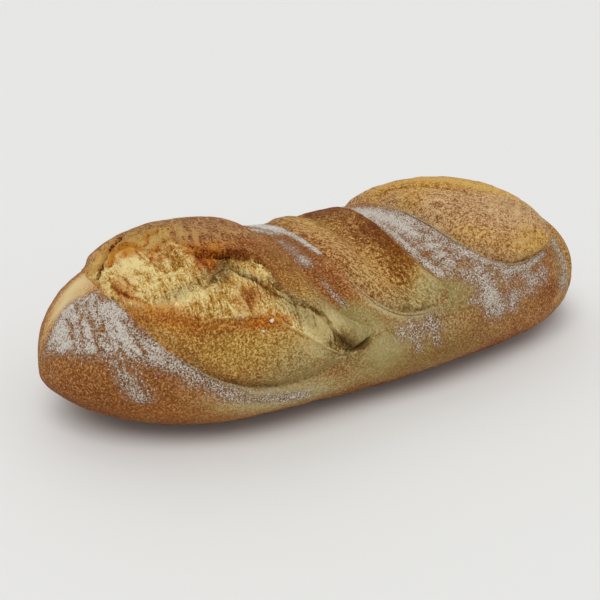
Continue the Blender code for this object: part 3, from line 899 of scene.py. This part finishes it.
FAR_ROLL = ((45, -22), (55, -12), (65, -3), (75, 8))
FAR_FLAKES = ((94, 48, 20, 10, 0, 1.0), (100, 20, 16, 20, 0, 0.45))
FLAKE_WIDTH = 0.0030
FLAKE_LENGTH = 0.0036
BLISTER_FIBRE = (0.0016, 0.0024)
*far, far_depth = burst_grid(SLASHES["far"], 280, 250)
far_along, far_down = far
far_share, far_from_left, far_from_right, _, _ = slash_place(*far, SLASHES["far"])
far_flakes = ovals(*far, FAR_FLAKES)
far_bend = patches(71, *far, 9)
far_curl = ridges(random_field(
    72, far_along / FLAKE_WIDTH + far_bend, far_down / FLAKE_LENGTH - far_bend))
far_height = burst_height(*far, SLASHES["far"]) + MM * (
    0.35 * patches(73, *far, 7) + (0.16 + 0.45 * far_flakes) * far_curl
    - 0.9 * stroke(*far, FAR_ROLL, 1.6))
FAR_OVALS = {
    "gold": (
        (62, -14, 36, 11, 38, 1.0), (85, -4, 23, 8, 40, 0.95), (96, 47, 20, 10, 0, 0.8),
        (50, -2, 7, 7, 0, 0.6), (64, 36, 18, 6, 40, 0.4),
    ),
    # (62, -10) darkens the groove under the golden roll: painted shade.
    "shade": (
        (62, -10, 30, 4, 44, -0.16), (98, 46, 16, 8, 0, 0.06), (86, -3, 22, 7, 40, 0.18),
        (62, -14, 34, 8, 38, 0.2), (76, 22, 16, 14, 0, 0.06), (100, 16, 16, 18, 0, 0.08),
        (89, 34, 14, 10, 0, 0.12),
    ),
}
# Swirls where the crust rolled up: a ring's middle, radius and half width, in millimetres.
FAR_SWIRLS = ((50, -1, 5, 0.8), (56, 10, 3, 0.7), (52, 17, 2, 0.8))
FAR_PALE = (
    (76, 25, 1.6, 1.2, 0, 1.0), (50, 19, 3, 1.2, 20, 1.0), (58, 7, 1.4, 1.2, 0, 1.0),
    (86, 14, 1.2, 1, 0, 0.8),
)
far_tones = tones(*far, FAR_OVALS, 74)
far_wander = MM * patches(75, *far, 4)
for swirl_along, swirl_down, radius, half in MM * np.array(FAR_SWIRLS):
    ring = np.hypot(far_along - swirl_along, 0.7 * (far_down - swirl_down)) + 1.6 * far_wander
    far_tones["shade"] += 0.20 * hump(ring, radius, half)
    far_tones["shade"] -= 0.16 * hump(ring, radius - 2 * half, half)
far_tones["shade"] += (0.05 + 0.22 * far_flakes) * far_curl + 0.5 * ovals(*far, FAR_PALE)
# The dark line along FAR_ROLL is painted shade in the groove under the golden roll.
far_tones["shade"] -= 0.30 * stroke(far_along + far_wander, far_down, FAR_ROLL, 1.1)
far_edge = smooth_step(far_from_left, 0.004, 0.0)
far_edge = far_edge + smooth_step(far_from_right, 0.005, 0.0) * (far_share < 0.8)
far_tones.update(grain=0.46, veins=0.34 + 0.10 * far_flakes, fibre=0.26, flour=0.16 * far_edge,
                 drawn=drawn_along(*far, SLASHES["far"], *BLISTER_FIBRE, 76))
far_points = raised(*far, far_height - far_depth)
# Wheat crust, blistered as it set. To the eye it is rosy tan, with curled pale flakes.
rosy_burst = crust_material("blistered_wheat_crust", ("#763c0c", "#ac743e", "#eec690"), {
    "gold": ("#824002", "#c48628", "#f2c46a")}, 1.8, 0.40)
place_piece(closed_mesh("far_burst", far_points, far_tones), rosy_burst)

# ---------------------------------------------------------------------------------------------
# The tip burst: a short shallow fourth slash that wraps round the far end.
# ---------------------------------------------------------------------------------------------

*tip, tip_depth = burst_grid(SLASHES["tip"], 120, 60)
tip_points = raised(*tip, burst_height(*tip, SLASHES["tip"]) - 0.6 * tip_depth)
place_piece(closed_mesh("tip_burst", tip_points, {
    "shade": 0.58 + 0.05 * patches(81, *tip, 8), "gold": 0.2, "olive": 0, "grain": 0.4,
    "veins": 0.1, "fibre": 0.2, "flour": 0.3 * flour_cover(*tip),
    "drawn": drawn_along(*tip, SLASHES["tip"], *FIRM_FIBRE, 82)}), ridged_burst)

# ---------------------------------------------------------------------------------------------
# The lips: where a slash opened, the cut edge of the skin dried, curled up and stayed pale.
# Each is a thin rounded bead along part of a slash's left edge.
# ---------------------------------------------------------------------------------------------

LIP_HALF_WIDTH = 0.00075
LIP_HALF_HEIGHT = 0.00030


def bead(opening, rings=300, sides=10):
    """Places and heights of a bead: ovals centred on a slash's left edge where its lip stands
    up, thicker and thinner by a random field, and fading at both ends."""
    start, _, _, end = opening["lip"]
    curve = edge_curve(opening, "left", 400)
    back, length, forward, _ = slash_axes(opening)
    reach = np.maximum.accumulate((curve - back) @ forward) / length
    share = np.linspace(start + 0.02, end - 0.01, rings)
    spine = np.stack([np.interp(share, reach, curve[:, axis]) for axis in (0, 1)], axis=-1)
    heading = np.gradient(spine, axis=0)
    heading /= np.linalg.norm(heading, axis=1, keepdims=True)
    uneven = 1 + 0.35 * random_field(91, share / 0.02, 0 * share)
    size = lip_share(share, opening) ** 0.6 * uneven + 0.03
    turn = np.linspace(0, 2 * np.pi, sides, endpoint=False)
    aside = LIP_HALF_WIDTH * np.cos(turn) * size[:, None] - 0.0003
    along = spine[:, :1] - heading[:, 1:] * aside
    down = spine[:, 1:] + heading[:, :1] * aside
    lift = 0.75 * LIP_HEIGHT * lip_share(share, opening)[:, None]
    return along, down, lift + LIP_HALF_HEIGHT * np.sin(turn) * size[:, None]


# Dough skin that dried before it browned. To the eye it is cream-coloured and matt.
lip_crust = crust_material("dried_dough_skin", ("#94763f", "#b59c6c", "#d8c8a4"), {})
for key, opening in SLASHES.items():
    lip_along, lip_down, lip_height = bead(opening)
    place_piece(closed_mesh(f"{key}_lip", raised(lip_along, lip_down, lip_height), {
        "shade": 0.5, "grain": 0.4, "veins": 0, "fibre": 0,
        "flour": 0.8 * flour_cover(lip_along, lip_down),
        "drawn": (lip_along / 0.002, lip_down / 0.002, 0)}), lip_crust)

# ---------------------------------------------------------------------------------------------
# Loose flour: dry lumps that cling to the floured skin, and three larger grains that fell on the
# near burst. They are too fine to count in the photo, so these are 0.3 to 0.6 mm across.
# ---------------------------------------------------------------------------------------------

FLOUR_LUMPS = 6000
FLOUR_LUMP_SIZES = (0.00014, 0.00030)           # half their width
LUMP_TRIES = 160000          # places tried, of which most are bare of flour or in a slash
LUMP_SPAN_ALONG = (-0.147, 0.147)
LUMP_SPAN_DOWN = (-0.100, 0.110)
# The larger grains: along, down and half size, in millimetres.
WHITE_GRAINS = ((-72, 53.5, 0.6), (-60.2, 57, 1.1), (-65, 61, 0.6))


def joined_lumps(name, middles, frames, sizes, seed, values):
    """Icosahedra joined into one mesh: for each a middle, three directions and a half size along
    each. Their corners are three golden rectangles, moved in and out at random, and their faces
    are all threes of corners that lie two apart."""
    golden = (1 + 5 ** 0.5) / 2
    corners = np.array([np.roll((0, i, j * golden), turn)
                        for turn in range(3) for i in (-1, 1) for j in (-1, 1)])
    apart = np.linalg.norm(corners[:, None] - corners, axis=2)
    threes = np.array([(i, j, k) for i in range(12) for j in range(i) for k in range(j)
                       if max(apart[i, j], apart[j, k], apart[i, k]) < 2.01])
    outward = np.linalg.det(corners[threes]) > 0
    threes = np.where(outward[:, None], threes, threes[:, ::-1])
    count = len(middles)
    rough = 1 + 0.25 * np.random.default_rng(seed).uniform(-1, 1, (count, 12, 1))
    points = middles[:, None] + (corners / golden * rough * sizes[:, None]) @ frames
    faces = (threes + 12 * np.arange(count)[:, None, None]).reshape(-1, 3)
    mesh = bpy.data.meshes.new(name)
    mesh.from_pydata(points.reshape(-1, 3).tolist(), [], faces.tolist())
    for key, value in values.items():
        layer = mesh.attributes.new(key, "FLOAT", "POINT")
        layer.data.foreach_set("value", np.repeat(value, 12).astype(np.float32))
    mesh.shade_smooth()
    return mesh


def level_frames(along, down, turn):
    """Three directions at each place: one on the skin, turned from straight down it by an angle,
    one across that on the skin, and the normal."""
    normal = skin_normals(along, down)
    steep = skin_points(along, down + 0.0005) - skin_points(along, down - 0.0005)
    steep /= np.linalg.norm(steep, axis=1, keepdims=True)
    level = np.cross(normal, steep)
    turned = np.cos(turn)[:, None] * steep + np.sin(turn)[:, None] * level
    return np.stack((turned, np.cross(normal, turned), normal), axis=1)


chance = np.random.default_rng(101)
lump_along = chance.uniform(*LUMP_SPAN_ALONG, LUMP_TRIES)
lump_down = chance.uniform(*LUMP_SPAN_DOWN, LUMP_TRIES)
lump_bare = np.ones(len(lump_along), bool)
for opening in SLASHES.values():
    _, from_left, from_right, _, within = slash_place(lump_along, lump_down, opening)
    lump_bare &= ~(within & (from_left > 0) & (from_right > 0))
lump_wanted = lump_bare * flour_cover(lump_along, lump_down) ** 2.2
lump_picked = np.flatnonzero(chance.uniform(0, 1, LUMP_TRIES) < lump_wanted)[:FLOUR_LUMPS]
grains = MM * np.array(WHITE_GRAINS)
lump_along = np.append(lump_along[lump_picked], grains[:, 0])
lump_down = np.append(lump_down[lump_picked], grains[:, 1])
lump_sizes = np.append(chance.uniform(*FLOUR_LUMP_SIZES, len(lump_picked)), grains[:, 2])
lump_rise = skin_height(lump_along, lump_down)
lump_rise[-3:] = burst_height(lump_along[-3:], lump_down[-3:], SLASHES["near"])
lump_mesh = joined_lumps(
    "flour_lumps", raised(lump_along, lump_down, lump_rise + 0.3 * lump_sizes),
    level_frames(lump_along, lump_down, chance.uniform(0, 6.28, len(lump_along))),
    lump_sizes[:, None] * (1.0, 0.8, 0.6), 102, {"shade": chance.uniform(0, 1, len(lump_along))})

# Wheat flour, sieved on and caked dry. To the eye it is white and wholly matt.
dry_flour, flour_tree, flour_shader = new_material(
    "dry_wheat_flour", Roughness=1.0, Specular_IOR_Level=0.1)
flour_shade = add_node(flour_tree, "Attribute", {"attribute_name": "shade"}, "Fac")
flour_colour = add_node(
    flour_tree, "ValToRGB", {"codes": ("#cfc4b6", "#e6e0d6", "#f3f0ea")}, Fac=flour_shade)
flour_tree.links.new(flour_colour, flour_shader.inputs["Base Color"])
place_piece(lump_mesh, dry_flour)

# ---------------------------------------------------------------------------------------------
# Crumb shreds: where the crust tore, strands of crumb came loose and dried on the torn face.
# ---------------------------------------------------------------------------------------------

SHREDS = 1400
SHRED_LENGTHS = (0.0005, 0.0014)                # half their length
SHRED_WIDTHS = (0.00016, 0.00030)
SHRED_FREE_EDGE = 0.0016     # strip along the lower edge of the tear that has none
# Torn rims with teeth of crust: the places they run through, half the size of a tooth, and how
# grey it is.
RIMS = (
    (((-34, 72), (-29, 78), (-22, 82), (-14, 82), (-11, 80)), 0.6, 0.9),
    (((-11, 80), (-9, 77), (-5, 74), (-1, 73), (3, 77)), 0.55, 0.9),
    (((-16, 55), (-13, 61), (-11, 66), (-11, 71)), 0.45, 0.9),
    (LEFT_RIM, 0.5, 0.1),
    (MIDDLE_RIM, 0.45, 0.1),
)
TEETH = 60

torn_places = np.flatnonzero(
    (torn > 0.9) & (above > SHRED_FREE_EDGE) & (near_depth == 0) & (near_tones["rust"] < 0.4))
shred_at = np.random.default_rng(103).choice(torn_places, SHREDS, replace=False)
shred_places = np.stack((near_along, near_down + hanging, near_height - 0.0001), axis=-1)
shred_places = shred_places.reshape(-1, 3)[shred_at]
shred_turn = 0.25 * patches(104, *shred_places[:, :2].T, 6) + 0.2 * chance.normal(0, 1, SHREDS)
shred_sizes = np.stack([chance.uniform(*span, SHREDS) for span in (
    SHRED_LENGTHS, SHRED_WIDTHS, SHRED_WIDTHS)], axis=1)
shred_shade = near_tones["shade"].ravel()[shred_at] + chance.uniform(-0.1, 0.22, SHREDS)
# Shreds deep in the tear take its grey-brown painted shade.
shred_grey_and_shade = near_tones["grey"].ravel()[shred_at]
top_places = np.stack((near_along, near_down, near_height), axis=-1)[near_depth == 0]
for places, size, grey in RIMS:
    walk = np.linspace(0, len(places) - 1, TEETH)
    rim = np.stack([np.interp(walk, range(len(places)), column)
                    for column in MM * np.array(places).T], axis=1)
    rim += chance.normal(0, 0.8 * size * MM, rim.shape)
    nearest = np.argmin(np.linalg.norm(rim[:, None] - top_places[:, :2], axis=2), axis=1)
    _, from_left, from_right, _, within = slash_place(*rim.T, SLASHES["near"])
    outside = ~within | (from_left < 0) | (from_right < 0)
    rise = np.where(outside, skin_height(*rim.T), top_places[nearest, 2])
    shred_places = np.concatenate((shred_places, np.column_stack((rim, rise))))
    shred_turn = np.append(shred_turn, chance.uniform(0, 6.28, TEETH))
    teeth = size * MM * chance.uniform(0.25, 1.15, (TEETH, 1)) * (1.3, 0.8, 0.7)
    shred_sizes = np.concatenate((shred_sizes, teeth))
    shred_shade = np.append(shred_shade, chance.uniform(0.45, 0.85, TEETH) + 0.15 * (1 - grey))
    shred_grey_and_shade = np.append(shred_grey_and_shade, np.full(TEETH, grey))
shred_mesh = joined_lumps(
    "crumb_shreds", raised(*shred_places.T), level_frames(*shred_places[:, :2].T, shred_turn),
    shred_sizes, 105, {"shade": np.clip(shred_shade, 0, 1), "grey": shred_grey_and_shade})

# Crumb of white bread, torn and dried in the oven. To the eye it is cream to gold and matt;
# shreds deep in the tear are grey-brown with painted shade, and some torn rims are grey.
dry_crumb, crumb_tree, crumb_shader = new_material(
    "oven_dried_crumb", Roughness=0.9, Specular_IOR_Level=0.15)
crumb_shade, crumb_grey_and_shade = (add_node(crumb_tree, "Attribute", {"attribute_name": key}, "Fac")
                           for key in ("shade", "grey"))
crumb_plain, crumb_dull = (add_node(crumb_tree, "ValToRGB", {"codes": codes}, Fac=crumb_shade)
                           for codes in (CRUMB, GREY_AND_SHADE))
crumb_colour = add_node(crumb_tree, "Mix", RGBA, 2, i0=crumb_grey_and_shade, i6=crumb_plain, i7=crumb_dull)
crumb_tree.links.new(crumb_colour, crumb_shader.inputs["Base Color"])
place_piece(shred_mesh, dry_crumb)

# ---------------------------------------------------------------------------------------------
# The floor, light and camera.
# ---------------------------------------------------------------------------------------------

FLOOR_HALF = 3.0
FLOOR_CORNERS = ((-1, -1), (1, -1), (1, 1), (-1, 1))
floor_mesh = bpy.data.meshes.new("floor")
floor_mesh.from_pydata(
    [(x * FLOOR_HALF, y * FLOOR_HALF, 0) for x, y in FLOOR_CORNERS], [], [(0, 1, 2, 3)])
floor = add_object("floor", floor_mesh)
# Board painted pale grey by roller. To the eye it is plain and matt, and shows soft shadows.
floor_paint, _, _ = new_material("matt_painted_board", Base_Color=linear("#e9e9e7"), Roughness=0.9)
floor_mesh.materials.append(floor_paint)

world = bpy.data.worlds.new("studio")
world.use_nodes = True
world.node_tree.nodes["Background"].inputs["Color"].default_value = linear("#ffffff")
world.node_tree.nodes["Background"].inputs["Strength"].default_value = 0.48
bpy.context.scene.world = world


def aim(thing, target):
    """Turns a lamp or camera to look at a point."""
    thing.rotation_euler = (Vector(target) - thing.location).to_track_quat("-Z", "Y").to_euler()


def broad_light(name, direction, spread, strength):
    """A broad soft light that shines from one direction all over the scene."""
    lamp = bpy.data.lights.new(name, "SUN")
    lamp.angle, lamp.energy = np.radians(spread), strength
    holder = add_object(name, lamp)
    holder.location = direction
    aim(holder, (0, 0, 0))


broad_light("key_light", (-0.45, -0.55, 1.5), 45, 1.28)
broad_light("fill_light", (0.9, -0.9, 0.6), 90, 0.25)
broad_light("back_light", (0.1, 0.9, 1.1), 60, 0.40)

AIM_POINT = (-0.017, 0.0, 0.035)
CAMERA_AZIMUTH = np.radians(-27.5)
CAMERA_ELEVATION = np.radians(26)
CAMERA_DISTANCE = 0.525
camera_data = bpy.data.cameras.new("camera")
camera_data.sensor_width = 36
camera_data.lens = 62.5
camera = add_object("camera", camera_data)
camera.location = Vector(AIM_POINT) + CAMERA_DISTANCE * Vector((
    np.sin(CAMERA_AZIMUTH) * np.cos(CAMERA_ELEVATION),
    -np.cos(CAMERA_AZIMUTH) * np.cos(CAMERA_ELEVATION), np.sin(CAMERA_ELEVATION)))
aim(camera, AIM_POINT)
bpy.context.scene.camera = camera
